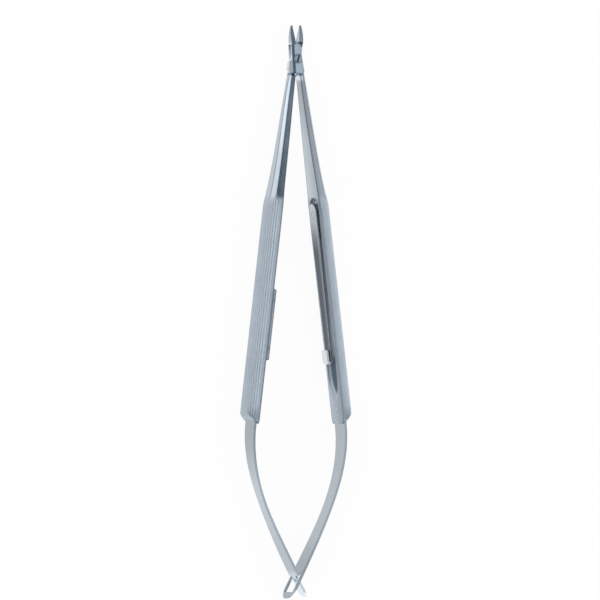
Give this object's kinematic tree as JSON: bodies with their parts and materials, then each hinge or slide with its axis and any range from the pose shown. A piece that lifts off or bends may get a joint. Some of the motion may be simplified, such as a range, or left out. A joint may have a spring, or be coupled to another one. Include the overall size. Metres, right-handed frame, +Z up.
{
  "type": "surgical needle holder",
  "caption": "Spring-handled micro needle holder with fluted half-round grips, a screwed box joint, two crossing leaf springs at the tail and a hook latch between the grips.",
  "frame": {"origin": "centre of the bounding box's bottom, on the surface that the two grips lie on, at rest with the jaws open", "axes": "+Y along the instrument towards the jaws, +Z up along the joint screw, out of the surface, +X to the right grip"},
  "size_m": [0.0384, 0.1854, 0.0095],
  "materials": {
    "satin_steel": "satin ground stainless steel",
    "polished_steel": "polished stainless steel",
    "spring_steel": "matt brushed spring steel"
  },
  "bodies": {
    "right_half": {"right_arm": "satin_steel", "pivot_screw": "polished_steel", "latch_rivet": "polished_steel", "right_leaf_spring": "spring_steel", "right_spring_pins": "polished_steel"},
    "left_half": {"left_arm": "satin_steel", "catch_rail": "polished_steel", "catch_pins": "polished_steel", "left_leaf_spring": "spring_steel", "left_spring_pins": "polished_steel"},
    "latch": {"latch_arm": "polished_steel"}
  },
  "joints": [
    {"name": "jaw_pivot", "type": "hinge", "parent": "right_half", "child": "left_half", "pos_m": [0, 0.08189, 0.00474], "axis": [0, 0, 1], "range_deg": [0, 13.8], "stiffness_Nm_per_rad": 0.8, "deforming": ["right_leaf_spring", "left_leaf_spring"]},
    {"name": "latch_flex", "type": "hinge", "parent": "right_half", "child": "latch", "pos_m": [0.00662, 0.03132, 0.00474], "axis": [-0.9928, -0.1201, 0], "range_deg": [0, 1.4], "stiffness_Nm_per_rad": 0.03}
  ]
}
